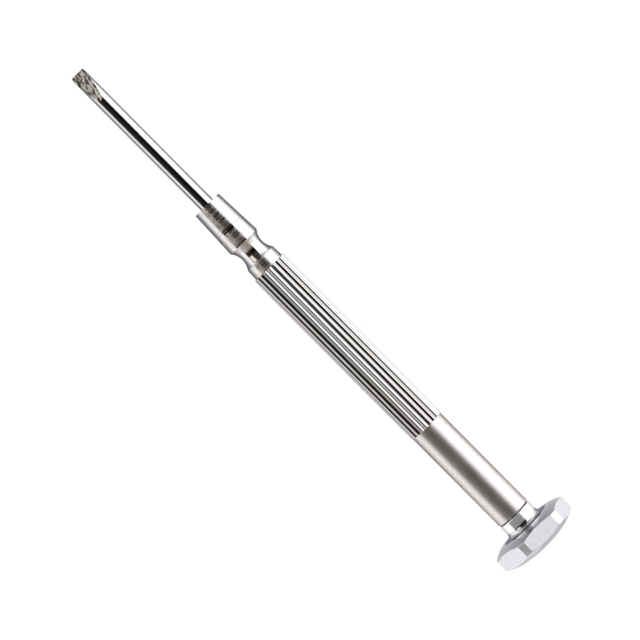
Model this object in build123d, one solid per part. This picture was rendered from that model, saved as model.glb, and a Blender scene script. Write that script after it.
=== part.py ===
from build123d import *
import os
from math import asin, atan2, cos, hypot, pi, radians, sin, sqrt, tan

# Watchmaker screwdriver with a swivel head and a collet chuck, in millimetres.
# Every piece is modelled round the tool's axis, which is X, with the blade's tip at x = 0.
# At the end all pieces move together, so that the head's lower flat lies on z = 0.

# Blade: round rod, ground to a wedge, with a thinner tang inside the chuck
blade_dia = 2.5
blade_reach = 28.0          # from the tip to the chuck sleeve
blade_roll = 17.0           # turn of the wedge about the axis, degrees
grind_half_angle = 10.4
tip_thickness = 0.5
tip_width = 2.3
side_relief_length = 1.5
tang_step = 0.25            # shoulder between the blade and its thinner tang
tang_length = 13.4
tang_chamfer = 0.2

# Collet that grips the tang
collet_wall = 0.48
collet_tip_wall = 0.46
collet_head_step = 0.08     # how far the cone stays under the sleeve's thread
collet_cone_length = 1.58
collet_land = 0.1           # short cylinder behind the cone
collet_slits = 3
slit_width = 0.25
slit_stop = 1.5             # unslit ring left at the tail's end
collet_clearance = 0.02     # on every face that slides or seats

# Thread that the sleeve screws on, shown as rings
spigot_wall = 0.48
spigot_air = 0.1            # between the spigot's front and the collet's head
thread_pitch = 0.5
thread_depth = 0.15
thread_clearance = 0.03

# Nose: chuck sleeve and, behind a fine seam, the handle's collar on one taper
sleeve_wall = 0.42          # at the front, over the thread
sleeve_length = 4.8
sleeve_front_wall = 0.6
blade_hole_clearance = 0.05
collar_length = 3.07
nose_growth = 0.66          # the taper's rear diameter less its front one
nose_chamfer = 0.2
seam_gap = 0.03
seam_chamfer = 0.05
pocket_back_wall = 0.4      # metal between the collet pocket and the neck

# Handle
neck_length = 3.6
neck_wall = 1.05
neck_low_place = 1.65       # thinnest place, from the collar
shoulder_length = 1.9
shoulder_front_dia = 5.35
shoulder_rear_dia = 5.5
grip_length = 34.1
grip_dia = 6.09
grip_chamfer = 0.1
flute_count = 20
flute_depth = 0.23
flute_share = 0.91          # a groove's share of the pitch, the rest is land
flute_round = 0.21          # radius of a groove's root and of the land's edges
flute_overrun = 0.004       # how far the groove's cutter stands over the grip at the lands
flute_roll = 10.9           # a crest stands this far round from the top, degrees
tail_length = 18.85
tail_wall = 0.725
tail_chamfer = 0.12
tang_bore_clearance = 0.05
tang_bore_spare = 3.0       # bore beyond the tang's end

# Bearing of the swivel head, in the handle's rear bore
spindle_dia = 2.5
spindle_running_clearance = 0.02
spindle_nose = 2.25         # spindle in front of the clip
bush_wall = 0.93
bush_length = 8.0
bush_chamfer = 0.15
washer_thickness = 0.3
washer_clearance = 0.04
clip_thickness = 0.4
clip_air = 0.25             # between the clip and the bore
clip_play = 0.05
clip_groove_depth = 0.3
clip_mouth = 1.6
ball_inset = 0.05           # how much smaller than the spindle the ball is, all round
ball_socket_depth = 0.25
ball_gap = 0.01
seat_thickness = 1.0

# Swivel head: lens of two domes with rounder rims and six flats, on a stem; the front dome is flatter
head_gap = 0.15
stem_dia = 5.9
stem_length = 2.26          # from the stem's face to where the front dome would start
stem_chamfer = 0.12
stem_fillet = 0.9
head_thickness = 4.6
front_dome_radius = 60.0
front_rim_bend = 5.0        # radius of the curve between the dome and the head's edge
rear_dome_radius = 22.0
rear_rim_bend = 7.0
head_dome_reach = 4.5       # where a dome gives way to its rounder rim, from the axis
head_across_flats = 12.76
head_corner_trim = 0.32     # turned off each corner of the hexagon
head_edge = 0.1
spindle_in_head = 4.1
spindle_hole_spare = 0.1

# Diameters that follow from the ones above, from the tang outwards and from the spindle outwards
tang_dia = blade_dia - 2 * tang_step
tang_bore_dia = tang_dia + 2 * tang_bore_clearance
collet_bore_dia = tang_dia + 2 * collet_clearance
collet_tail_dia = collet_bore_dia + 2 * collet_wall
collet_tip_dia = collet_bore_dia + 2 * collet_tip_wall
pocket_dia = collet_tail_dia + 2 * collet_clearance
thread_dia = pocket_dia + 2 * spigot_wall
thread_bore_dia = thread_dia + 2 * thread_clearance
collet_head_dia = thread_bore_dia - 2 * (collet_head_step + collet_clearance)
nose_front_dia = thread_bore_dia + 2 * sleeve_wall
nose_rear_dia = nose_front_dia + nose_growth
neck_dia = tang_bore_dia + 2 * neck_wall
spindle_bore_dia = spindle_dia + 2 * spindle_running_clearance
bearing_bore_dia = spindle_bore_dia + 2 * bush_wall
tail_dia = bearing_bore_dia + 2 * tail_wall
clip_dia = bearing_bore_dia - 2 * clip_air
ball_dia = spindle_dia - 2 * ball_inset
head_rim_radius = head_across_flats / 2 / cos(radians(30)) - head_corner_trim

# Places along the axis
sleeve_front = blade_reach
sleeve_rear = sleeve_front + sleeve_length
collar_front = sleeve_rear + seam_gap
collar_rear = collar_front + collar_length
neck_rear = collar_rear + neck_length
grip_front = neck_rear + shoulder_length
grip_rear = grip_front + grip_length
tail_rear = grip_rear + tail_length
stem_front = tail_rear + head_gap
head_front = stem_front + stem_length
head_rear = head_front + head_thickness

collet_front = sleeve_front + sleeve_front_wall + collet_clearance
cone_rear = collet_front + collet_cone_length
land_rear = cone_rear + collet_land
thread_front = land_rear + spigot_air
pocket_floor = collar_rear - pocket_back_wall
collet_rear = pocket_floor - collet_clearance
tang_front = collet_front - collet_clearance
tang_rear = tang_front + tang_length

bush_front = tail_rear - bush_length
washer_front = bush_front - washer_thickness
clip_rear = washer_front - clip_play
clip_front = clip_rear - clip_thickness
spindle_front = clip_front - spindle_nose
ball_centre = spindle_front - ball_gap - ball_dia / 2
seat_rear = ball_centre - ball_dia / 2 + ball_socket_depth
seat_front = seat_rear - seat_thickness

beyond = 1.0                # how far a cutter runs past what it cuts


def turned(*outline):
    """Solid of revolution about X from (x, radius) points."""
    return revolve(make_face(Polyline(*outline, close=True)), Axis.X)


def nose_radius(x):
    """Radius of the taper that the sleeve and the collar share."""
    share = (x - sleeve_front) / (collar_rear - sleeve_front)
    return (nose_front_dia + share * (nose_rear_dia - nose_front_dia)) / 2


def prism_across(plane, *outline):
    """Straight cutter through the whole blade, square to the given plane."""
    return extrude(plane * make_face(Polyline(*outline, close=True)), blade_dia, both=True)


def make_blade():
    rod = turned(
        (0, 0),
        (0, blade_dia / 2),
        (tang_front, blade_dia / 2),
        (tang_front, tang_dia / 2),
        (tang_rear - tang_chamfer, tang_dia / 2),
        (tang_rear, tang_dia / 2 - tang_chamfer),
        (tang_rear, 0),
    )
    slope = tan(radians(grind_half_angle))
    run_out = (blade_dia - tip_thickness) / 2 / slope
    relief_slope = (blade_dia - tip_width) / 2 / side_relief_length
    cutters = []
    for side in (1, -1):
        cutters.append(prism_across(
            Plane.XZ,
            (-beyond, side * (tip_thickness / 2 - beyond * slope)),
            (run_out + beyond, side * (blade_dia / 2 + beyond * slope)),
            (run_out + beyond, side * blade_dia),
            (-beyond, side * blade_dia),
        ))
        cutters.append(prism_across(
            Plane.XY,
            (-beyond, side * (tip_width / 2 - beyond * relief_slope)),
            (side_relief_length + beyond, side * (blade_dia / 2 + beyond * relief_slope)),
            (side_relief_length + beyond, side * blade_dia),
            (-beyond, side * blade_dia),
        ))
    return Rot(X=blade_roll) * (rod - cutters)


def make_chuck_sleeve():
    hole = blade_dia / 2 + blade_hole_clearance
    seat_tip = collet_tip_dia / 2 + collet_clearance
    seat_mouth = collet_head_dia / 2 + collet_clearance
    seat_front_face = sleeve_front + sleeve_front_wall
    return turned(
        (sleeve_front, hole),
        (sleeve_front, nose_front_dia / 2 - nose_chamfer),
        (sleeve_front + nose_chamfer, nose_radius(sleeve_front + nose_chamfer)),
        (sleeve_rear - seam_chamfer, nose_radius(sleeve_rear - seam_chamfer)),
        (sleeve_rear, nose_radius(sleeve_rear) - seam_chamfer),
        (sleeve_rear, thread_bore_dia / 2),
        (cone_rear, thread_bore_dia / 2),
        (cone_rear, seat_mouth),
        (seat_front_face, seat_tip),
        (seat_front_face, hole),
    )


def make_collet():
    bush = turned(
        (collet_front, collet_bore_dia / 2),
        (collet_front, collet_tip_dia / 2),
        (cone_rear, collet_head_dia / 2),
        (land_rear, collet_head_dia / 2),
        (land_rear, collet_tail_dia / 2),
        (collet_rear, collet_tail_dia / 2),
        (collet_rear, collet_bore_dia / 2),
    )
    slit_length = collet_rear - slit_stop - collet_front
    slit = Pos(collet_front - beyond, 0, 0) * Box(
        slit_length + beyond,
        slit_width,
        collet_head_dia,
        align=(Align.MIN, Align.CENTER, Align.MIN),
    )
    return bush - [Rot(X=turn * 360 / collet_slits) * slit for turn in range(collet_slits)]


def thread_rings():
    """Outline of the spigot's ringed surface, from its front to the collar."""
    half_groove = thread_pitch / 4
    points = []
    for ring in range(int((collar_front - thread_front) / thread_pitch + 0.01)):
        middle = thread_front + (ring + 0.5) * thread_pitch
        points.append((middle - half_groove, thread_dia / 2))
        points.append((middle, thread_dia / 2 - thread_depth))
        points.append((middle + half_groove, thread_dia / 2))
    return points


def handle_bar():
    """The handle turned from bar, before its bores and flutes are cut."""
    neck_arc = ThreePointArc(
        (collar_rear, nose_rear_dia / 2),
        (collar_rear + neck_low_place, neck_dia / 2),
        (neck_rear, shoulder_front_dia / 2),
    )
    front = Polyline(
        (tail_rear, 0),
        (thread_front, 0),
        (thread_front, thread_dia / 2),
        *thread_rings(),
        (collar_front, thread_dia / 2),
        (collar_front, nose_radius(collar_front) - seam_chamfer),
        (collar_front + seam_chamfer, nose_radius(collar_front + seam_chamfer)),
        (collar_rear, nose_rear_dia / 2),
    )
    rear = Polyline(
        (neck_rear, shoulder_front_dia / 2),
        (grip_front, shoulder_rear_dia / 2),
        (grip_front, grip_dia / 2 - grip_chamfer),
        (grip_front + grip_chamfer, grip_dia / 2),
        (grip_rear - grip_chamfer, grip_dia / 2),
        (grip_rear, grip_dia / 2 - grip_chamfer),
        (grip_rear, tail_dia / 2),
        (tail_rear - tail_chamfer, tail_dia / 2),
        (tail_rear, tail_dia / 2 - tail_chamfer),
        (tail_rear, 0),
    )
    return revolve(make_face(Curve() + [front, neck_arc, rear]), Axis.X)


def flute_cutter():
    """One straight rounded groove as long as the grip, at the top of the handle."""
    top = grip_dia / 2
    half_share = radians(180 / flute_count * flute_share)
    reach = top - flute_round + flute_overrun
    low = (0, top - flute_depth + flute_round)
    high = (reach * sin(half_share), reach * cos(half_share))
    span = (high[0] - low[0], high[1] - low[1])
    slope = atan2(span[1], span[0]) + asin(2 * flute_round / hypot(*span))

    def on_arc(centre, side, angle):
        return (side * (centre[0] + flute_round * sin(angle)), centre[1] + flute_round * cos(angle))

    edges = []
    for side in (1, -1):
        root_end = on_arc(low, side, pi - slope)
        crest_start = on_arc(high, side, -slope)
        crest_end = on_arc(high, side, half_share)
        edges += [
            ThreePointArc((0, top - flute_depth), on_arc(low, side, pi - slope / 2), root_end),
            Line(root_end, crest_start),
            ThreePointArc(crest_start, on_arc(high, side, (half_share - slope) / 2), crest_end),
            Line(crest_end, (crest_end[0], top + beyond)),
        ]
    edges.append(Line((crest_end[0], top + beyond), (-crest_end[0], top + beyond)))
    groove = make_face(Curve() + edges)
    return Pos(grip_front, 0, 0) * extrude(Plane.YZ * groove, grip_length)


def make_handle_body():
    bores = turned(
        (thread_front - beyond, 0),
        (thread_front - beyond, pocket_dia / 2),
        (pocket_floor, pocket_dia / 2),
        (pocket_floor, tang_bore_dia / 2),
        (tang_rear + tang_bore_spare, tang_bore_dia / 2),
        (tang_rear + tang_bore_spare, 0),
    )
    bearing_bore = turned(
        (seat_front, 0),
        (seat_front, bearing_bore_dia / 2),
        (tail_rear + beyond, bearing_bore_dia / 2),
        (tail_rear + beyond, 0),
    )
    step = 360 / flute_count
    flutes = [Rot(X=flute_roll + (turn + 0.5) * step) * flute_cutter() for turn in range(flute_count)]
    return handle_bar() - bores - bearing_bore - flutes


def make_ball_seat():
    disc = turned(
        (seat_front, 0),
        (seat_front, bearing_bore_dia / 2),
        (seat_rear, bearing_bore_dia / 2),
        (seat_rear, 0),
    )
    return disc - make_thrust_ball()


def make_thrust_ball():
    return Pos(ball_centre, 0, 0) * Sphere(ball_dia / 2)


def make_bearing_bush():
    return turned(
        (bush_front, spindle_bore_dia / 2),
        (bush_front, bearing_bore_dia / 2 - bush_chamfer),
        (bush_front + bush_chamfer, bearing_bore_dia / 2),
        (tail_rear - bush_chamfer, bearing_bore_dia / 2),
        (tail_rear, bearing_bore_dia / 2 - bush_chamfer),
        (tail_rear, spindle_bore_dia / 2),
    )


def make_clip_washer():
    outer = bearing_bore_dia / 2 - washer_clearance
    return turned(
        (washer_front, spindle_bore_dia / 2),
        (washer_front, outer),
        (bush_front, outer),
        (bush_front, spindle_bore_dia / 2),
    )


def make_spindle():
    groove = spindle_dia / 2 - clip_groove_depth
    rear = stem_front + spindle_in_head
    return turned(
        (spindle_front, 0),
        (spindle_front, spindle_dia / 2),
        (clip_front, spindle_dia / 2),
        (clip_front, groove),
        (clip_rear, groove),
        (clip_rear, spindle_dia / 2),
        (rear, spindle_dia / 2),
        (rear, 0),
    )


def make_retaining_clip():
    groove = spindle_dia / 2 - clip_groove_depth
    ring = turned(
        (clip_front, groove),
        (clip_front, clip_dia / 2),
        (clip_rear, clip_dia / 2),
        (clip_rear, groove),
    )
    mouth = Pos(clip_front, 0, 0) * Box(
        clip_thickness,
        clip_mouth,
        clip_dia,
        align=(Align.MIN, Align.CENTER, Align.MIN),
    )
    return ring - mouth


def dome_depth(radius, dome_radius, rim_bend):
    """How far a dome has fallen away from its top at this radius."""
    inner = min(radius, head_dome_reach)
    fall = dome_radius - sqrt(dome_radius ** 2 - inner ** 2)
    if radius > head_dome_reach:
        lean = head_dome_reach / dome_radius
        rim_lean = lean + (radius - head_dome_reach) / rim_bend
        fall += rim_bend * (sqrt(1 - lean ** 2) - sqrt(1 - rim_lean ** 2))
    return fall


def stem_corner():
    """Arc that blends the stem into the front dome: its two ends and its middle."""
    stem = stem_dia / 2
    arc_height = stem + stem_fillet
    reach = front_dome_radius + stem_fillet
    dome_centre = head_front + front_dome_radius
    arc_x = dome_centre - sqrt(reach ** 2 - arc_height ** 2)
    pull = front_dome_radius / reach
    on_dome = (dome_centre + (arc_x - dome_centre) * pull, arc_height * pull)
    towards = (on_dome[0] - arc_x, on_dome[1] - arc_height - stem_fillet)
    size = hypot(*towards)
    middle = (
        arc_x + stem_fillet * towards[0] / size,
        arc_height + stem_fillet * towards[1] / size,
    )
    return (arc_x, stem), middle, on_dome


def make_swivel_head():
    rim = head_rim_radius
    start, middle, on_dome = stem_corner()
    on_front = [
        (head_front + dome_depth(radius, front_dome_radius, front_rim_bend), radius)
        for radius in ((on_dome[1] + head_dome_reach) / 2, head_dome_reach, (head_dome_reach + rim) / 2, rim)
    ]
    on_rear = [
        (head_rear - dome_depth(radius, rear_dome_radius, rear_rim_bend), radius)
        for radius in (rim, (head_dome_reach + rim) / 2, head_dome_reach, head_dome_reach / 2)
    ]
    outline = Curve() + [
        Polyline(
            (head_rear, 0),
            (stem_front, 0),
            (stem_front, stem_dia / 2 - stem_chamfer),
            (stem_front + stem_chamfer, stem_dia / 2),
            start,
        ),
        ThreePointArc(start, middle, on_dome),
        ThreePointArc(on_dome, on_front[0], on_front[1]),
        ThreePointArc(on_front[1], on_front[2], on_front[3]),
        Line(on_front[3], on_rear[0]),
        ThreePointArc(on_rear[0], on_rear[1], on_rear[2]),
        ThreePointArc(on_rear[2], on_rear[3], (head_rear, 0)),
    ]
    lens = revolve(make_face(outline), Axis.X)
    hexagon = Plane.YZ * RegularPolygon(head_across_flats / 2, 6, major_radius=False)
    prism = Pos(stem_front, 0, 0) * extrude(hexagon, head_rear - stem_front)
    head = lens & prism
    limit = head_across_flats / 2 - head_edge
    rim_edges = [
        edge for edge in head.edges()
        if hypot(edge.center().Y, edge.center().Z) > limit and abs(edge.tangent_at(0.5).X) < 0.5
    ]
    head = fillet(rim_edges, head_edge)
    hole_end = stem_front + spindle_in_head + spindle_hole_spare
    return head - turned(
        (stem_front - beyond, 0),
        (stem_front - beyond, spindle_dia / 2),
        (hole_end, spindle_dia / 2),
        (hole_end, 0),
    )


pieces = {
    "blade": make_blade(),
    "chuck_sleeve": make_chuck_sleeve(),
    "collet": make_collet(),
    "handle_body": make_handle_body(),
    "ball_seat": make_ball_seat(),
    "thrust_ball": make_thrust_ball(),
    "bearing_bush": make_bearing_bush(),
    "clip_washer": make_clip_washer(),
    "retaining_clip": make_retaining_clip(),
    "spindle": make_spindle(),
    "swivel_head": make_swivel_head(),
}

os.makedirs("parts", exist_ok=True)
place = Pos(-head_rear / 2, 0, head_across_flats / 2)
for name, piece in pieces.items():
    export_step(place * piece, f"parts/{name}.step")
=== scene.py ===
import math

import bmesh
import bpy
import numpy as np
from mathutils import Matrix, Vector


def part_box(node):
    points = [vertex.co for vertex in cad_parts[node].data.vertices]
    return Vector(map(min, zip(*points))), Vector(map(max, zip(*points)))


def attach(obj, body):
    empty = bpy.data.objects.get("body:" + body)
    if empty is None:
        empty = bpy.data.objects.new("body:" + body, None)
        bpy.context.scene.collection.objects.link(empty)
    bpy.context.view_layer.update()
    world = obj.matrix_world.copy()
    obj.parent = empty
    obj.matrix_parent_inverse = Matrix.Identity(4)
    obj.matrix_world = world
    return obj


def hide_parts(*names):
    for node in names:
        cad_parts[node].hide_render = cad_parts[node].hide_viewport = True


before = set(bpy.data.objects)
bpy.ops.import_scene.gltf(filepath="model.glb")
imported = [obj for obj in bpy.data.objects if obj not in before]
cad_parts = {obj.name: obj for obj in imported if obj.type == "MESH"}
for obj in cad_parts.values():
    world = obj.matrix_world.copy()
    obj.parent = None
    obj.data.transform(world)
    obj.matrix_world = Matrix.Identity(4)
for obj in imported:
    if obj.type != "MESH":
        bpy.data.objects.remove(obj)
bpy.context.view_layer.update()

mm = 0.001  # outlines are drawn in millimetres, in the frame's own axes
sharpAngle = math.radians(28)  # edges that turn more than this stay sharp


def boxInMm(node):
    low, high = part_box(node)
    return low / mm, high / mm


bladeLow, bladeHigh = boxInMm("blade")
sleeveLow, sleeveHigh = boxInMm("chuck_sleeve")
handleLow, handleHigh = boxInMm("handle_body")
headLow, headHigh = boxInMm("swivel_head")
spindleLow, spindleHigh = boxInMm("spindle")
axisHeight = (bladeLow.z + bladeHigh.z) / 2
toolLength = headHigh.x - bladeLow.x
print("frame loaded:", len(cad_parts), "nodes")


class Wire:  # an output socket that takes part in arithmetic
    def __init__(self, socket):
        self.socket = socket

    def maths(self, operation, *values):
        tree = self.socket.node.id_data
        node = tree.nodes.new("ShaderNodeMath")
        node.operation = operation
        for slot, value in enumerate(values):
            plug(node.inputs[slot], value)
        return Wire(node.outputs[0])

    def __add__(self, other): return self.maths("ADD", self, other)
    def __radd__(self, other): return self.maths("ADD", other, self)
    def __sub__(self, other): return self.maths("SUBTRACT", self, other)
    def __rsub__(self, other): return self.maths("SUBTRACT", other, self)
    def __mul__(self, other): return self.maths("MULTIPLY", self, other)
    def __rmul__(self, other): return self.maths("MULTIPLY", other, self)
    def __neg__(self): return self.maths("MULTIPLY", self, -1.0)


def plug(socket, value):
    if isinstance(value, Wire):
        socket.id_data.links.new(value.socket, socket)
    else:
        socket.default_value = value


class Graph:  # a node tree being filled
    def __init__(self, tree):
        self.tree = tree
        tree.nodes.clear()

    def node(self, kind, settings=None, inputs=None, out=0):
        made = self.tree.nodes.new("ShaderNode" + kind)
        for name, value in (settings or {}).items():
            setattr(made, name, value)
        for name, value in (inputs or {}).items():
            plug(made.inputs[name], value)
        return Wire(made.outputs[out]) if made.outputs else None

    def rise(self, value, start, end):  # 0 before start, 1 after end
        limits = {"From Min": start, "From Max": end}
        return self.node("MapRange", {"interpolation_type": "SMOOTHSTEP"}, {"Value": value, **limits})

    def mixColour(self, share, first, second, blend="MIX"):
        settings = {"data_type": "RGBA", "blend_type": blend}
        return self.node("Mix", settings, {0: share, 6: first, 7: second}, out=2)

    def stretch(self, vector, factors):
        return self.node("VectorMath", {"operation": "MULTIPLY"}, {0: vector, 1: factors})

    def noise(self, vector, scale, detail=3.0, roughness=0.5):
        inputs = {"Vector": vector, "Scale": scale, "Detail": detail, "Roughness": roughness}
        return self.node("TexNoise", None, inputs)

    def parts(self, vector):
        split = self.node("SeparateXYZ", None, {0: vector}).socket.node
        return [Wire(split.outputs[k]) for k in range(3)]


def newFinish(name):
    material = bpy.data.materials.new(name)
    material.use_nodes = True
    return material, Graph(material.node_tree)


def closeFinish(graph, colour, roughness, normal=None, metallic=1.0, edgeTint=None, **plain):
    settings = {"Base Color": colour, "Roughness": roughness, "Metallic": metallic, **plain}
    if normal is not None:
        settings["Normal"] = normal
    if edgeTint is not None:
        settings["Specular Tint"] = edgeTint
    surface = graph.node("BsdfPrincipled", None, settings)
    graph.node("OutputMaterial", None, {"Surface": surface})


def bump(graph, height, strength, distance):
    return graph.node("Bump", None, {"Height": height, "Strength": strength, "Distance": distance * mm})


def placeInMm(graph):
    return graph.stretch(graph.node("TexCoord", out=3), (1 / mm, 1 / mm, 1 / mm))


steelLook = {
    "colour": (0.64, 0.64, 0.65, 1),
    "edge": (0.3, 0.3, 0.31, 1),
    "roughness": 0.07,
    "groundDark": (0.06, 0.053, 0.042, 1),
    "groundPale": (0.84, 0.80, 0.70, 1),
    "groundRoughness": 0.3,
    "groundMetal": 0.5,  # the rest of the ground faces scatters light
}


def polishedSteel():
    material, graph = newFinish("polishedSteel")
    place = placeInMm(graph)
    cloud = graph.noise(place, 0.35)
    hairlines = graph.noise(graph.stretch(place, (0.6, 9, 9)), 2.0)  # drawn along the rod
    roughness = steelLook["roughness"] + 0.04 * cloud + 0.05 * hairlines
    closeFinish(graph, steelLook["colour"], roughness, bump(graph, hairlines, 0.06, 0.003),
                edgeTint=steelLook["edge"])
    return material


def groundSteel():
    material, graph = newFinish("groundSteel")
    place = placeInMm(graph)
    slanted = graph.node("VectorRotate", {"rotation_type": "Z_AXIS"}, {"Vector": place, "Angle": 0.2})
    strokes = graph.noise(graph.stretch(slanted, (0.9, 3.4, 3.4)), 1.0, 2.0, 0.5)
    pits = graph.noise(graph.stretch(place, (2.2, 3.0, 3.0)), 1.0, 2.0)
    along = graph.parts(place)[0]
    lighterAwayFromTip = 0.05 * graph.rise(along, bladeLow.x + 1.2, bladeLow.x + 3.5)  # shifts the mottle darker at the very tip, a plain tone change along the blade
    mottle = graph.rise(0.7 * strokes + 0.3 * pits + lighterAwayFromTip, 0.42, 0.64)
    colour = graph.mixColour(mottle, steelLook["groundDark"], steelLook["groundPale"])
    closeFinish(graph, colour, steelLook["groundRoughness"], bump(graph, strokes, 0.8, 0.06),
                metallic=steelLook["groundMetal"])
    return material


nickelLook = {
    "colour": (0.69, 0.675, 0.665, 1),
    "edge": (0.25, 0.23, 0.22, 1),
    "turnedRoughness": 0.07,
    "turnedMatt": 0.17,  # added away from the burnished strips
    "turnedGroove": 0.022,  # how deep the turning marks look, in mm
    # smooth strips: place behind the nose's seam, and width, in mm
    "burnished": ((-4.72, 0.3), (0.08, 0.8), (3.0, 0.3), (5.3, 2.6)),
    "burnishedSoftness": 0.06,
    "flutedRoughness": 0.1,
    "satinRoughness": 0.37,
    "satinColour": (0.78, 0.745, 0.735, 1),
    "satinGrain": (0.60, 0.565, 0.55, 1),
}


def turnedNickel():
    material, graph = newFinish("turnedNickel")
    place = placeInMm(graph)
    along = graph.parts(place)[0]
    marked = 1.0
    soft = nickelLook["burnishedSoftness"]
    for middle, width in nickelLook["burnished"]:
        away = along - (sleeveHigh.x + middle)
        away = away.maths("ABSOLUTE", away)
        marked = marked * graph.rise(away, width / 2 - soft, width / 2 + soft)
    feed = graph.noise(graph.stretch(place, (24, 0.3, 0.3)), 1.0, 2.0, 0.6)  # fine rings left by the tool
    bands = graph.noise(graph.stretch(place, (4.5, 0.25, 0.25)), 1.0, 3.0, 0.7)
    bands = graph.rise(bands, 0.32, 0.66)
    roughness = nickelLook["turnedRoughness"] + marked * (nickelLook["turnedMatt"] * (0.5 + bands))
    marks = feed * marked * (0.55 + 0.95 * bands)
    closeFinish(graph, nickelLook["colour"], roughness, bump(graph, marks, 1.0, nickelLook["turnedGroove"]),
                edgeTint=nickelLook["edge"])
    return material


def flutedNickel():
    material, graph = newFinish("flutedNickel")
    place = placeInMm(graph)
    ticks = graph.noise(graph.stretch(place, (3.0, 1.2, 1.2)), 1.6, 3.0, 0.6)
    cloud = graph.noise(place, 0.5)
    roughness = nickelLook["flutedRoughness"] + 0.08 * cloud
    closeFinish(graph, nickelLook["colour"], roughness, bump(graph, ticks, 0.12, 0.02),
                edgeTint=nickelLook["edge"])
    return material


def satinNickel():
    material, graph = newFinish("satinNickel")
    place = placeInMm(graph)
    grain = graph.noise(place, 6.0, 2.0, 0.7)
    cloud = graph.noise(place, 0.45)
    speckle = graph.rise(grain, 0.35, 0.7)
    colour = graph.mixColour(speckle, nickelLook["satinColour"], nickelLook["satinGrain"])
    roughness = nickelLook["satinRoughness"] + 0.08 * (cloud - 0.5)
    closeFinish(graph, colour, roughness, bump(graph, grain, 0.25, 0.015), edgeTint=nickelLook["edge"])
    return material


chromeLook = {
    "colour": (0.62, 0.635, 0.66, 1),
    "edge": (0.35, 0.36, 0.39, 1),
    "roughness": 0.05,
    "satinColour": (0.89, 0.90, 0.94, 1),
    "satinRoughness": 0.2,
    "satinMetal": 0.7,
    "domeColour": (0.54, 0.54, 0.58, 1),
    "domeRoughness": 0.14,
    "domeMetal": 0.92,
    "flatColour": (0.80, 0.80, 0.83, 1),
    "flatStroke": (0.70, 0.70, 0.72, 1),
    "flatRoughness": 0.55,
    "flatMetal": 0.2,
}


def polishedChrome():
    material, graph = newFinish("polishedChrome")
    place = placeInMm(graph)
    cloud = graph.noise(place, 0.5)
    closeFinish(graph, chromeLook["colour"], chromeLook["roughness"] + 0.05 * cloud,
                bump(graph, cloud, 0.05, 0.02), edgeTint=chromeLook["edge"])
    return material


def satinChrome(name, part):  # part begins the names of its values above
    material, graph = newFinish(name)
    place = placeInMm(graph)
    grain = graph.noise(place, 7.0, 2.0, 0.6)
    cloud = graph.noise(place, 0.6)
    colour = graph.mixColour(0.3 * grain, chromeLook[part + "Colour"], chromeLook["flatStroke"])
    closeFinish(graph, colour, chromeLook[part + "Roughness"] + 0.08 * (cloud - 0.5),
                bump(graph, grain, 0.15, 0.01), metallic=chromeLook[part + "Metal"])
    return material


def milledChrome():
    material, graph = newFinish("milledChrome")
    place = placeInMm(graph)
    strokes = graph.noise(graph.stretch(place, (0.8, 7, 7)), 1.4, 3.0, 0.6)  # milled along the axis
    across = graph.noise(graph.stretch(place, (6, 0.8, 0.8)), 1.2, 2.0, 0.6)
    colour = graph.mixColour(graph.rise(0.5 * strokes + 0.5 * across, 0.4, 0.65),
                             chromeLook["flatColour"], chromeLook["flatStroke"])
    closeFinish(graph, colour, chromeLook["flatRoughness"] + 0.1 * (strokes - 0.5),
                bump(graph, strokes + across, 0.15, 0.01), metallic=chromeLook["flatMetal"])
    return material


innerLook = {
    "springSteel": ((0.45, 0.45, 0.47, 1), 0.3),
    "hardSteel": ((0.58, 0.58, 0.6, 1), 0.14),
    "bearingBronze": ((0.62, 0.42, 0.2, 1), 0.32),
}


def innerMetal(name):
    colour, roughness = innerLook[name]
    material, graph = newFinish(name)
    place = placeInMm(graph)
    rings = graph.noise(graph.stretch(place, (9, 0.4, 0.4)), 1.0, 3.0, 0.6)
    dark = tuple(0.7 * part for part in colour[:3]) + (1,)
    closeFinish(graph, graph.mixColour(0.5 * rings, colour, dark), roughness + 0.1 * (rings - 0.5),
                bump(graph, rings, 0.2, 0.01))
    return material


finish = {made.name: made for made in (
    polishedSteel(), groundSteel(), turnedNickel(), flutedNickel(), satinNickel(), polishedChrome(),
    satinChrome("satinChrome", "satin"), satinChrome("domeChrome", "dome"), milledChrome(),
    *(innerMetal(name) for name in innerLook),
)}
print("finishes made:", len(finish))


def softened(corners, steps=4):
    # corners are (x, radius, bend, finish): an arc of radius bend at the corner, and the finish after it
    points = []
    for order, (x, radius, bend, name) in enumerate(corners):
        if bend == 0 or order in (0, len(corners) - 1):
            points.append((x, radius, name))
            continue
        here = Vector((x, radius))
        before = Vector(corners[order - 1][:2]) - here
        after = Vector(corners[order + 1][:2]) - here
        half = before.angle(after) / 2
        reach = min(bend / math.tan(half), 0.45 * min(before.length, after.length))
        before.normalize()
        after.normalize()
        centre = here + (before + after).normalized() * (reach / math.cos(half))
        start = here + before * reach - centre
        end = here + after * reach - centre
        for step in range(steps + 1):
            point = centre + slerp2(start, end, step / steps)
            points.append((point.x, point.y, name))
    return points


def slerp2(start, end, share):
    turn = math.atan2(start.x * end.y - start.y * end.x, start.dot(end)) * share
    cosine, sine = math.cos(turn), math.sin(turn)
    return Vector((start.x * cosine - start.y * sine, start.x * sine + start.y * cosine))


def bow(start, low, end, count, name):
    # points inside the arc of a circle through three points
    (ax, ay), (bx, by), (cx, cy) = start, low, end
    a, b, c = ax * ax + ay * ay, bx * bx + by * by, cx * cx + cy * cy
    d = 2 * (ax * (by - cy) + bx * (cy - ay) + cx * (ay - by))
    centre = Vector((
        (a * (by - cy) + b * (cy - ay) + c * (ay - by)) / d,
        (a * (cx - bx) + b * (ax - cx) + c * (bx - ax)) / d,
    ))
    first, last = Vector(start) - centre, Vector(end) - centre
    arc = [centre + slerp2(first, last, step / count) for step in range(1, count)]
    return [(point.x, point.y, 0, name) for point in arc]


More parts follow.
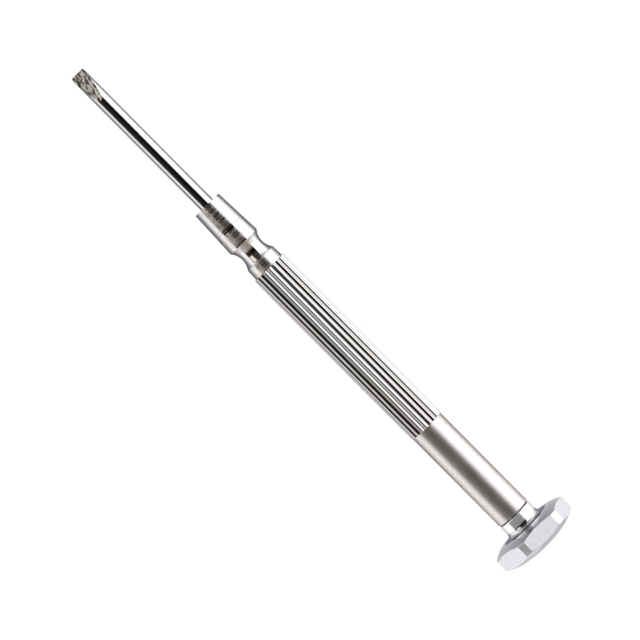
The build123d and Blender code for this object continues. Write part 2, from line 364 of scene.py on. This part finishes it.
def ringPoints(x, radii, angles):
    # one ring of points round the axis; angles run from the top towards -Y
    return [(x, -radius * math.sin(angle), axisHeight + radius * math.cos(angle))
            for radius, angle in zip(radii, angles)]


def meshFromRings(name, rings, names, closed=False):
    # rings of equal count; names gives the finish of the band after each ring; a ring of one point is a pole
    bm = bmesh.new()
    used = sorted({entry for band in names for entry in ([band] if isinstance(band, str) else band)})
    made = [[bm.verts.new(Vector(point) * mm) for point in ring] for ring in rings]
    count = max(len(ring) for ring in rings)
    pairs = list(zip(made, made[1:])) + ([(made[-1], made[0])] if closed else [])
    for (first, second), band in zip(pairs, names):
        for k in range(count):
            n = (k + 1) % count
            label = band if isinstance(band, str) else band[k]
            if len(first) == 1:
                corners = (first[0], second[k], second[n])
            elif len(second) == 1:
                corners = (first[k], second[0], first[n])
            else:
                corners = (first[k], second[k], second[n], first[n])
            face = bm.faces.new(corners)
            face.material_index = used.index(label)
    return finishMesh(name, bm, used)


def finishMesh(name, bm, used):
    bmesh.ops.recalc_face_normals(bm, faces=bm.faces)
    for edge in bm.edges:
        edge.smooth = edge.calc_face_angle(0) < sharpAngle
    mesh = bpy.data.meshes.new(name)
    bm.to_mesh(mesh)
    bm.free()
    mesh.polygons.foreach_set("use_smooth", [True] * len(mesh.polygons))
    for label in used:
        mesh.materials.append(finish[label])
    piece = bpy.data.objects.new(name, mesh)
    bpy.context.scene.collection.objects.link(piece)
    weighted = piece.modifiers.new("weightedNormal", "WEIGHTED_NORMAL")
    weighted.weight = 50
    weighted.keep_sharp = True
    return piece


def evenAngles(count):
    return [2 * math.pi * k / count for k in range(count)]


def turned(name, outline, slices, closed=False):
    angles = evenAngles(slices)
    rings = []
    for x, radius, label in outline:
        onAxis = radius == 0
        rings.append(ringPoints(x, [radius] * (1 if onAxis else slices), angles))
    return meshFromRings(name, rings, [label for x, radius, label in outline], closed)


blade = {
    "tangDiameter": 2.0,
    "shoulderBehindNose": 0.6,
    "tangChamfer": 0.2,
    "roll": 17.0,
    "grindHalfAngle": 10.4,
    "tipThickness": 0.5,
    "tipWidth": 2.3,
    "reliefLength": 1.5,
    "edgeSoftness": 0.025,
    "shoulderBend": 0.04,
    "tangBend": 0.05,
    "slices": 160,
}


def grind(bm, point, normal):
    everything = bm.verts[:] + bm.edges[:] + bm.faces[:]
    cut = bmesh.ops.bisect_plane(bm, geom=everything, plane_co=point, plane_no=normal, clear_outer=True)
    rim = [item for item in cut["geom_cut"] if isinstance(item, bmesh.types.BMEdge)]
    bmesh.ops.contextual_create(bm, geom=rim)


def makeBlade():
    radius = (bladeHigh.z - bladeLow.z) / 2
    tang = blade["tangDiameter"] / 2
    shoulder = sleeveLow.x + blade["shoulderBehindNose"]
    end = bladeHigh.x
    chamfer, shoulderBend, tangBend = blade["tangChamfer"], blade["shoulderBend"], blade["tangBend"]
    outline = softened([
        (bladeLow.x, 0, 0, "polishedSteel"),
        (bladeLow.x, radius, 0, "polishedSteel"),
        (shoulder, radius, shoulderBend, "polishedSteel"),
        (shoulder, tang, shoulderBend, "polishedSteel"),
        (end - chamfer, tang, tangBend, "polishedSteel"),
        (end, tang - chamfer, tangBend, "polishedSteel"),
        (end, 0, 0, "polishedSteel"),
    ])
    piece = turned("bladeShaft", outline, blade["slices"])
    bm = bmesh.new()
    bm.from_mesh(piece.data)
    slope = math.tan(math.radians(blade["grindHalfAngle"]))
    relief = (radius - blade["tipWidth"] / 2) / blade["reliefLength"]
    roll = Matrix.Rotation(math.radians(blade["roll"]), 3, "X")
    tip = Vector((bladeLow.x, 0, axisHeight)) * mm
    for side in (1, -1):
        cuts = (
            (Vector((0, 0, side * blade["tipThickness"] / 2)), Vector((-slope, 0, side))),
            (Vector((0, side * blade["tipWidth"] / 2, 0)), Vector((-relief, side, 0))),
        )
        for point, normal in cuts:
            grind(bm, tip + roll @ point * mm, roll @ normal)
    ground = [face for face in bm.faces if len(face.verts) > 4]  # the turned faces have three or four corners
    for face in ground:
        face.material_index = 1
    almostFlat = math.radians(4)
    rims = {edge for face in ground for edge in face.edges if edge.calc_face_angle(0) > almostFlat}
    bmesh.ops.bevel(bm, geom=list(rims), offset=blade["edgeSoftness"] * mm, segments=2,
                    affect="EDGES", profile=0.5, clamp_overlap=True, material=1)
    bm.to_mesh(piece.data)
    bm.free()
    piece.data.materials.append(finish["groundSteel"])
    piece.data.polygons.foreach_set("use_smooth", [True] * len(piece.data.polygons))
    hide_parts("blade")
    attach(piece, "blade")
    return piece


nose = {
    "frontDiameter": 4.9,
    "rearDiameter": 5.56,
    "bladeHole": 2.6,
    "frontWall": 0.6,
    "seatTip": 3.0,
    "seatMouth": 3.9,
    "seatLength": 1.6,
    "threadBore": 4.06,
    "chamfer": 0.02,
    "softness": 0.05,
    "frontBend": 0.07,
    "seamBend": 0.03,
    "boreBend": 0.04,
    "slices": 192,
}


def makeSleeve(noseRadius):
    front, rear = sleeveLow.x, sleeveHigh.x
    soft, chamfer = nose["softness"], nose["chamfer"]
    hole = nose["bladeHole"] / 2
    seatFront = front + nose["frontWall"]
    seatRear = seatFront + nose["seatLength"]
    metal = "turnedNickel"
    corners = [
        (front, hole, soft, metal),
        (front, noseRadius(front), nose["frontBend"], metal),
        (rear - chamfer, noseRadius(rear - chamfer), soft, metal),
        (rear, noseRadius(rear) - chamfer, nose["seamBend"], metal),
        (rear, nose["threadBore"] / 2, nose["boreBend"], metal),
        (seatRear, nose["threadBore"] / 2, 0, metal),
        (seatRear, nose["seatMouth"] / 2, 0, metal),
        (seatFront, nose["seatTip"] / 2, 0, metal),
        (seatFront, hole, 0, metal),
    ]
    ring = softened([corners[-1]] + corners + [corners[0]])[1:-1]
    piece = turned("chuckSleeve", ring, nose["slices"], closed=True)
    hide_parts("chuck_sleeve")
    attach(piece, "sleeve")
    return piece


handle = {
    "tailLength": 18.85,
    "tailDiameter": 5.85,
    "tailChamfer": 0.12,
    "gripLength": 34.1,
    "gripDiameter": 6.09,
    "gripChamfer": 0.1,
    "flutes": 20,
    "fluteDepth": 0.23,
    "fluteShare": 0.91,  # of the pitch, the rest is land
    "fluteRoll": 10.9,
    "pointsPerFlute": 24,
    "shoulderLength": 1.9,
    "shoulderFront": 5.35,
    "shoulderRear": 5.5,
    "neckLength": 3.6,
    "neckDiameter": 4.2,
    "neckLowPlace": 1.65,
    "collarLength": 3.07,
    "threadDiameter": 4.0,
    "threadPitch": 0.5,
    "threadDepth": 0.15,
    "pocketDiameter": 3.04,
    "pocketBackWall": 0.4,
    "tangBore": 2.1,
    "tangBoreSpare": 3.0,
    "bearingBore": 4.4,
    "edgeBend": 0.03,
    "threadBend": 0.02,
    "ridgeBend": 0.1,  # where the grip's end chamfers meet the flutes
    "gripRings": 14,
    "tailRings": 6,
}


def fluteRadii(angles):
    # radius of the fluted section at each angle: rounded grooves between narrow lands
    turns = (np.array(angles) - math.radians(handle["fluteRoll"])) * handle["flutes"] / (2 * math.pi)
    fromGroove = np.abs(turns - np.floor(turns) - 0.5) / (handle["fluteShare"] / 2)
    depth = 0.5 + 0.5 * np.cos(math.pi * np.minimum(fromGroove, 1))
    return handle["gripDiameter"] / 2 - handle["fluteDepth"] * depth


def makeHandle(noseRadius):
    size = handle
    tailRear = handleHigh.x
    gripRear = tailRear - size["tailLength"]
    gripFront = gripRear - size["gripLength"]
    neckRear = gripFront - size["shoulderLength"]
    collarRear = neckRear - size["neckLength"]
    collarFront = collarRear - size["collarLength"]
    spigotFront = handleLow.x
    thread, pocket = size["threadDiameter"] / 2, size["pocketDiameter"] / 2
    tangBore, bearing = size["tangBore"] / 2, size["bearingBore"] / 2
    pocketFloor = collarRear - size["pocketBackWall"]
    boreEnd = bladeHigh.x + size["tangBoreSpare"]
    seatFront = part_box("ball_seat")[0].x / mm
    chamfer, top, tail = nose["chamfer"], size["gripDiameter"] / 2, size["tailDiameter"] / 2
    gripChamfer, edgeBend, threadBend = size["gripChamfer"], size["edgeBend"], size["threadBend"]
    turnedMetal, fluted, satin = "turnedNickel", "flutedNickel", "satinNickel"

    corners = [
        (boreEnd, 0, 0, turnedMetal),
        (boreEnd, tangBore, 0, turnedMetal),
        (pocketFloor, tangBore, 0, turnedMetal),
        (pocketFloor, pocket, 0, turnedMetal),
        (spigotFront, pocket, edgeBend, turnedMetal),
        (spigotFront, thread, 0.04, turnedMetal),
    ]
    rings = int((collarFront - spigotFront) / size["threadPitch"] + 0.01)
    for ring in range(rings):  # thread
        middle = spigotFront + (ring + 0.5) * size["threadPitch"]
        corners += [
            (middle - size["threadPitch"] / 4, thread, threadBend, turnedMetal),
            (middle, thread - size["threadDepth"], threadBend, turnedMetal),
            (middle + size["threadPitch"] / 4, thread, threadBend, turnedMetal),
        ]
    neckStart = (collarRear, nose["rearDiameter"] / 2)
    neckLow = (collarRear + size["neckLowPlace"], size["neckDiameter"] / 2)
    neckEnd = (neckRear, size["shoulderFront"] / 2)
    corners += [
        (collarFront, thread, edgeBend, turnedMetal),
        (collarFront, noseRadius(collarFront) - chamfer, nose["seamBend"], turnedMetal),
        (collarFront + chamfer, noseRadius(collarFront + chamfer), nose["softness"], turnedMetal),
        (*neckStart, 0.06, turnedMetal),
        *bow(neckStart, neckLow, neckEnd, 18, turnedMetal),
        (*neckEnd, 0.05, turnedMetal),
        (gripFront, size["shoulderRear"] / 2, 0, turnedMetal),
    ]
    front = softened(corners)
    gripCorners = [
        (gripFront, size["shoulderRear"] / 2, 0, fluted),
        (gripFront, top - gripChamfer, edgeBend, fluted),
        (gripFront + gripChamfer, top, size["ridgeBend"], fluted),
    ]
    margin = gripChamfer + 2 * size["ridgeBend"]  # keeps the even rings clear of the bends
    for step in range(1, size["gripRings"]):
        x = gripFront + margin + (size["gripLength"] - 2 * margin) * step / size["gripRings"]
        gripCorners.append((x, top, 0, fluted))
    gripCorners += [
        (gripRear - gripChamfer, top, size["ridgeBend"], fluted),
        (gripRear, top - gripChamfer, edgeBend, fluted),
        (gripRear, tail, 0, satin),
    ]
    grip = softened(gripCorners, 6)[1:]
    tailStep = (size["tailLength"] - 0.5) / size["tailRings"]  # the last ring stands 0.5 mm before the end
    tailRings = [(gripRear + tailStep * ring, tail, 0, satin) for ring in range(size["tailRings"] + 1)]
    rear = softened(tailRings + [
        (tailRear - size["tailChamfer"], tail, 0.06, satin),
        (tailRear, tail - size["tailChamfer"], 0.04, satin),
        (tailRear, bearing, edgeBend, turnedMetal),
        (seatFront, bearing, 0, turnedMetal),
        (seatFront, 0, 0, turnedMetal),
    ])[1:]
    outline = front + grip + rear
    slices = size["flutes"] * size["pointsPerFlute"]
    angles = evenAngles(slices)
    flutes = fluteRadii(angles)
    ringList = []
    for x, radius, label in outline:
        if radius == 0:
            ringList.append(ringPoints(x, [0], angles))
        elif label == fluted and radius > size["shoulderRear"] / 2:
            ringList.append(ringPoints(x, np.minimum(radius, flutes), angles))
        else:
            ringList.append(ringPoints(x, [radius] * slices, angles))
    piece = meshFromRings("handleBody", ringList, [label for x, radius, label in outline])
    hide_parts("handle_body")
    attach(piece, "handle")
    return piece


head = {
    "stemDiameter": 5.9,
    "stemChamfer": 0.12,
    "stemFillet": 0.9,
    "frontDome": (60.0, 5.0),  # its radius, and that of its rounder rim
    "rearDome": (22.0, 7.0),
    "domeReach": 4.5,  # a dome gives way to its rim here
    "thickness": 4.6,
    "edgeRadius": 0.1,
    "cornerSoftness": 0.35,
    "holeSpare": 0.1,
    "polishedRings": 5,  # of the front dome, next to the fillet
}


def hexOutline():
    # (across, up, normal angle, on a flat) all the way round, angles from the top towards -Y
    flatDistance = (headHigh.z - headLow.z) / 2
    rim = (headHigh.y - headLow.y) / 2
    soft = head["cornerSoftness"]
    reach = math.sqrt((rim - soft) ** 2 - (flatDistance - soft) ** 2)  # half a flat's length
    lean = math.atan2(reach, flatDistance - soft)
    flatSteps, softSteps, cornerSteps = 12, 4, 8
    points = []
    for side in range(6):
        turn = side * math.pi / 3
        local = [(-reach + 2 * reach * k / flatSteps, flatDistance, 0.0, True) for k in range(flatSteps)]
        for k in range(softSteps):
            angle = lean * k / softSteps
            drop = soft - soft * math.cos(angle)
            local.append((reach + soft * math.sin(angle), flatDistance - drop, angle, False))
        for k in range(cornerSteps):
            angle = lean + (math.pi / 3 - 2 * lean) * k / cornerSteps
            local.append((rim * math.sin(angle), rim * math.cos(angle), angle, False))
        for k in range(softSteps):
            angle = math.pi / 3 - lean + lean * k / softSteps
            middle = math.pi / 3 - lean
            across, up = (rim - soft) * math.sin(middle), (rim - soft) * math.cos(middle)
            local.append((across + soft * math.sin(angle), up + soft * math.cos(angle), angle, False))
        for across, up, normal, flat in local:
            cosine, sine = math.cos(turn), math.sin(turn)
            points.append((across * cosine + up * sine, up * cosine - across * sine, normal + turn, flat))
    return points


def domeLean(radius, dome):  # sine of the dome's slope
    return min(radius, head["domeReach"]) / dome[0] + max(radius - head["domeReach"], 0) / dome[1]


def domeDepth(radius, dome):
    middle = domeLean(min(radius, head["domeReach"]), dome)
    fall = dome[0] * (1 - math.sqrt(1 - middle ** 2))
    if radius > head["domeReach"]:
        fall += dome[1] * (math.sqrt(1 - middle ** 2) - math.sqrt(1 - domeLean(radius, dome) ** 2))
    return fall


def makeHead():
    size = head
    stemFront, rearTop = headLow.x, headHigh.x
    frontTop = rearTop - size["thickness"]
    stem, fillet, dome = size["stemDiameter"] / 2, size["stemFillet"], size["frontDome"][0]
    edge = size["edgeRadius"]
    points = hexOutline()
    angles = [math.atan2(across, up) for across, up, normal, flat in points]
    count = len(points)
    hole = (spindleHigh.z - spindleLow.z) / 2
    holeEnd = spindleHigh.x + size["holeSpare"]
    chrome, satin, domed = "polishedChrome", "satinChrome", "domeChrome"

    # arc between the stem and the front dome
    arcHeight = stem + fillet
    arcX = frontTop + dome - math.sqrt((dome + fillet) ** 2 - arcHeight ** 2)
    pull = dome / (dome + fillet)
    touch = Vector((frontTop + dome + (arcX - frontTop - dome) * pull, arcHeight * pull))
    centre = Vector((arcX, arcHeight))
    inner = softened([
        (holeEnd, 0, 0, chrome),
        (holeEnd, hole, 0, chrome),
        (stemFront, hole, 0.03, chrome),
        (stemFront, stem - size["stemChamfer"], 0.04, satin),
        (stemFront + size["stemChamfer"], stem, 0.06, satin),
        (arcX, stem, 0, chrome),
    ])
    filletSteps = 12
    for step in range(1, filletSteps + 1):
        point = centre + slerp2(Vector((0, -fillet)), touch - centre, step / filletSteps)
        inner.append((point.x, point.y, chrome))
    rings = [ringPoints(x, [radius] * (1 if radius == 0 else count), angles) for x, radius, label in inner]
    bands = [label for x, radius, label in inner[:-1]]

    # where each dome meets its edge arc, and the arc itself, at every point of the hexagon
    edgeSteps = 6

    def edgeArcs(dome):
        seams = []
        for across, up, normal, flat in points:
            reach = math.hypot(across, up)
            outward = (across * math.sin(normal) + up * math.cos(normal)) / reach
            lean = math.atan(math.tan(math.asin(domeLean(reach, dome))) * outward)
            inset = edge * (1 - math.sin(lean))
            seamAcross, seamUp = across - inset * math.sin(normal), up - inset * math.cos(normal)
            depth = domeDepth(math.hypot(seamAcross, seamUp), dome)
            arc = []
            for step in range(edgeSteps + 1):
                angle = lean + (math.pi / 2 - lean) * step / edgeSteps
                back = edge - edge * math.sin(angle)
                arc.append((depth + edge * (math.cos(lean) - math.cos(angle)),
                            across - back * math.sin(normal), up - back * math.cos(normal)))
            seams.append((math.hypot(seamAcross, seamUp), arc))
        return seams

    frontSeams, rearSeams = edgeArcs(size["frontDome"]), edgeArcs(size["rearDome"])

    def place(x, across, up):
        return (x, -across, axisHeight + up)

    domeSteps = 24
    for step in range(1, domeSteps):
        share = step / domeSteps
        ring = []
        for (reach, arc), angle in zip(frontSeams, angles):
            radius = touch.y + share * (reach - touch.y)
            depth = domeDepth(radius, size["frontDome"])
            ring.append(place(frontTop + depth, radius * math.sin(angle), radius * math.cos(angle)))
        rings.append(ring)
        bands.append(chrome if step < size["polishedRings"] else domed)
    for step in range(edgeSteps + 1):
        rings.append([place(frontTop + arc[step][0], *arc[step][1:]) for reach, arc in frontSeams])
        bands.append(domed)
    sides = [("milledChrome" if points[k][3] else satin) for k in range(count)]
    for step in range(edgeSteps, -1, -1):
        rings.append([place(rearTop - arc[step][0], *arc[step][1:]) for reach, arc in rearSeams])
        bands.append(sides if step == edgeSteps else domed)
    rearSteps = 36
    for step in range(1, rearSteps):
        share = 1 - step / rearSteps
        ring = []
        for (reach, arc), angle in zip(rearSeams, angles):
            radius = share * reach
            depth = domeDepth(radius, size["rearDome"])
            ring.append(place(rearTop - depth, radius * math.sin(angle), radius * math.cos(angle)))
        rings.append(ring)
        bands.append(domed)
    rings.append([place(rearTop, 0, 0)])
    bands.append(domed)
    piece = meshFromRings("swivelHead", rings, bands)
    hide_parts("swivel_head")
    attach(piece, "swivel")
    return piece


def noseTaper():
    # radius of the line shared by the sleeve and the handle's collar
    front = sleeveLow.x
    behind = ("tailLength", "gripLength", "shoulderLength", "neckLength")
    rear = handleHigh.x - sum(handle[key] for key in behind)
    slope = (nose["rearDiameter"] - nose["frontDiameter"]) / 2 / (rear - front)
    return lambda x: nose["frontDiameter"] / 2 + slope * (x - front)


noseRadius = noseTaper()
pieces = [makeBlade(), makeSleeve(noseRadius), makeHandle(noseRadius), makeHead()]
print("pieces made:", [piece.name for piece in pieces])

innerFinish = {
    "collet": "springSteel",
    "clip_washer": "springSteel",
    "retaining_clip": "springSteel",
    "spindle": "hardSteel",
    "thrust_ball": "hardSteel",
    "ball_seat": "hardSteel",
    "bearing_bush": "bearingBronze",
}
for node, label in innerFinish.items():
    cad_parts[node].data.materials.clear()
    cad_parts[node].data.materials.append(finish[label])


studio = {
    "floorSize": 3.0,
    "floorColour": (0.04, 0.04, 0.04, 1),
    "floorGlow": 1.0,  # the table is lit from below, so nothing throws a shadow
    "floorShade": 0.27,  # painted shadow: how bright the table beside the tool looks in the metal
    "floorShadeBlade": 0.45,  # lighter painted shadow beside the thin blade
    "floorShadeHead": 0.6,  # lighter painted shadow under the raised head
    "bladeShadeTurn": 8.0,  # the first of these takes over within this many mm before the nose
    "headShadeTurn": (-22.0, 6.0),  # and the second between these places from the handle's end
    "floorMirrored": 1.25,  # the table away from the tool
    "shadeFarSide": (5.0, 36.0),  # the painted shadow runs out between these distances from the axis, in mm
    "shadeNearSide": (3.5, 22.0),
    "farCloth": (1.7, 1.7, 1.72, 1),  # tent cloth on the +Y side
    "nearCloth": (1.26, 1.24, 1.27, 1),
    "clothTurn": (-10.0, 40.0),  # degrees between which one cloth gives way to the other
    "endStart": 0.55,  # the tent's two ends are dimmer; this is the sine of the angle towards them
    "endFull": 0.95,
    "endColour": (0.45, 0.42, 0.41, 1),
    "shadeStart": -23.0,  # the unlit side of the tent, degrees from straight up towards -Y
    "shadeFull": -17.0,
    "shadeFade": 70.0,
    "shadeEnd": 76.0,
    "shadeColour": (0.006, 0.005, 0.004, 1),
    "shadeLow": (0.035, 0.032, 0.027, 1),  # its lower part
    "shadeLowTurn": (5.0, 60.0),  # degrees
    "shadeHeadEnd": (0.42, 0.365, 0.33, 1),  # its part beyond the head
    "shadeTipEnd": (0.06, 0.05, 0.045, 1),
    "shadeEndTurn": (0.12, 0.5),  # sine of the angle towards either end
    "glint": (1.15, 1.1, 0.9, 1),  # a pale panel low in the unlit side, towards the tip
    "glintLean": (36.0, 44.0, 66.0, 71.0),
    "glintPlace": (0.2, 0.34, 0.8, 0.9),
    "glintHeadEnd": 0.3,  # and a fainter one towards the head
    "fill": (1.0, 1.0, 1.02, 1),  # what scatters off the satin faces
}


def makeFloor():
    # tilted about the head's lower front edge until it touches the tool
    pivot = Vector((headLow.x, 0, 0))
    slope = 1.0
    for piece in pieces:
        for vertex in piece.data.vertices:
            point = vertex.co / mm
            if point.x < handleHigh.x - 1:
                slope = min(slope, point.z / (pivot.x - point.x))
    angle = math.atan(slope)
    print("floor tilt in degrees:", round(math.degrees(angle), 2))
    bm = bmesh.new()
    bmesh.ops.create_grid(bm, x_segments=2, y_segments=2, size=studio["floorSize"] / 2)
    tilt = Matrix.Translation(pivot * mm) @ Matrix.Rotation(angle, 4, "Y")
    bmesh.ops.transform(bm, matrix=tilt, verts=bm.verts)
    mesh = bpy.data.meshes.new("floor")
    bm.to_mesh(mesh)
    bm.free()
    material, graph = newFinish("floorGlowPaintedShadow")
    x, y, z = graph.parts(graph.stretch(graph.node("NewGeometry"), (1 / mm, 1 / mm, 1 / mm)))
    beyond = x.maths("ABSOLUTE", x) - toolLength / 2
    beyond = beyond.maths("MAXIMUM", beyond, 0.0)
    away = x.maths("SQRT", beyond * beyond + y * y)
    clear = studio["floorMirrored"]
    paintedShadowLevel = studio["floorShade"]
    towardsTip = graph.rise(-x, -sleeveLow.x, -sleeveLow.x + studio["bladeShadeTurn"])
    towardsHead = graph.rise(x, *(handleHigh.x + place for place in studio["headShadeTurn"]))
    paintedShadowLevel += (studio["floorShadeBlade"] - studio["floorShade"]) * towardsTip
    paintedShadowLevel += (studio["floorShadeHead"] - studio["floorShade"]) * towardsHead
    farSide = graph.rise(away, *studio["shadeFarSide"])
    nearSide = graph.rise(away, *studio["shadeNearSide"])
    side = graph.rise(y, -1.0, 1.0)
    clearing = nearSide + side * (farSide - nearSide)
    # painted shadow: the glow that the metal reflects is darker near the tool, while camera and diffuse rays
    # see plain white
    brightness = paintedShadowLevel + clearing * (clear - paintedShadowLevel)
    reflected = graph.node("CombineXYZ", None, {0: brightness, 1: brightness, 2: brightness})
    glow = graph.mixColour(graph.node("LightPath", out=3), (1, 1, 1, 1), reflected)
    closeFinish(graph, studio["floorColour"], 0.9, metallic=0.0,
                **{"Emission Color": glow, "Emission Strength": studio["floorGlow"]})
    mesh.materials.append(material)
    floor = bpy.data.objects.new("floor", mesh)
    bpy.context.scene.collection.objects.link(floor)


def lightTent():
    world = bpy.data.worlds.new("lightTent")
    bpy.context.scene.world = world
    world.use_nodes = True
    graph = Graph(world.node_tree)
    x, y, z = graph.parts(graph.node("TexCoord", out=0))
    lean = x.maths("ARCTAN2", -y, z) * (180 / math.pi)
    endwise = x.maths("ABSOLUTE", x)

    def panel(value, limits):  # 1 between the middle two limits
        return graph.rise(value, limits[0], limits[1]) * (1 - graph.rise(value, limits[2], limits[3]))

    cloth = graph.mixColour(graph.rise(lean, *studio["clothTurn"]), studio["farCloth"], studio["nearCloth"])
    ends = graph.rise(endwise, studio["endStart"], studio["endFull"])
    cloth = graph.mixColour(ends, cloth, studio["endColour"])
    low = graph.rise(lean, *studio["shadeLowTurn"])
    shade = graph.mixColour(low, studio["shadeColour"], studio["shadeLow"])
    shade = graph.mixColour(graph.rise(x, *studio["shadeEndTurn"]), shade, studio["shadeHeadEnd"])
    shade = graph.mixColour(graph.rise(-x, *studio["shadeEndTurn"]), shade, studio["shadeTipEnd"])
    towardsHead = studio["glintHeadEnd"] * graph.rise(x, -0.1, 0.1)
    glint = panel(lean, studio["glintLean"]) * panel(endwise, studio["glintPlace"])
    glint = glint * (towardsHead + graph.rise(-x, -0.1, 0.1))
    shade = graph.mixColour(glint, shade, studio["glint"])
    unlit = panel(lean, [studio[key] for key in ("shadeStart", "shadeFull", "shadeFade", "shadeEnd")])
    colour = graph.mixColour(unlit, cloth, shade)
    colour = graph.mixColour(graph.node("LightPath", out=2), colour, studio["fill"])
    colour = graph.mixColour(graph.node("LightPath", out=0), colour, (1, 1, 1, 1))
    background = graph.node("Background", None, {"Color": colour, "Strength": 1.0})
    graph.node("OutputWorld", None, {"Surface": background})


view = {
    "distance": 5.5,  # in tool lengths
    "width": 0.962,  # what the frame spans, in tool lengths
    "leanBack": 2.3,  # degrees towards the blade
    "leanSide": 7.7,  # degrees towards -Y
    "slant": 45.2,  # how far the head's end points below level
    "ahead": 1.875,  # the aim lies this far from the middle of the tool, in mm
    "aside": -0.15,
}


def makeCamera():
    back, side = math.radians(view["leanBack"]), math.radians(view["leanSide"])
    towards = Vector((-math.sin(back), -math.sin(side) * math.cos(back), math.cos(side) * math.cos(back)))
    middle = (bladeLow.x + headHigh.x) / 2
    aim = Vector((middle + view["ahead"], view["aside"], axisHeight)) * mm
    along = (Vector((1, 0, 0)) - towards * towards.x).normalized()
    across = towards.cross(along)
    slant = math.radians(view["slant"])
    right = math.cos(slant) * along + math.sin(slant) * across
    up = math.cos(slant) * across - math.sin(slant) * along
    data = bpy.data.cameras.new("camera")
    data.sensor_width = 36
    data.lens = data.sensor_width * view["distance"] / view["width"]
    data.clip_end = 20
    data.clip_start = 0.01
    camera = bpy.data.objects.new("camera", data)
    turn = Matrix((right, up, towards)).transposed().to_4x4()
    camera.matrix_world = Matrix.Translation(aim + towards * view["distance"] * toolLength * mm) @ turn
    bpy.context.scene.collection.objects.link(camera)
    bpy.context.scene.camera = camera


makeFloor()
lightTent()
makeCamera()
bpy.context.scene.view_settings.view_transform = "Standard"
bpy.context.scene.view_settings.look = "None"
print("studio made")
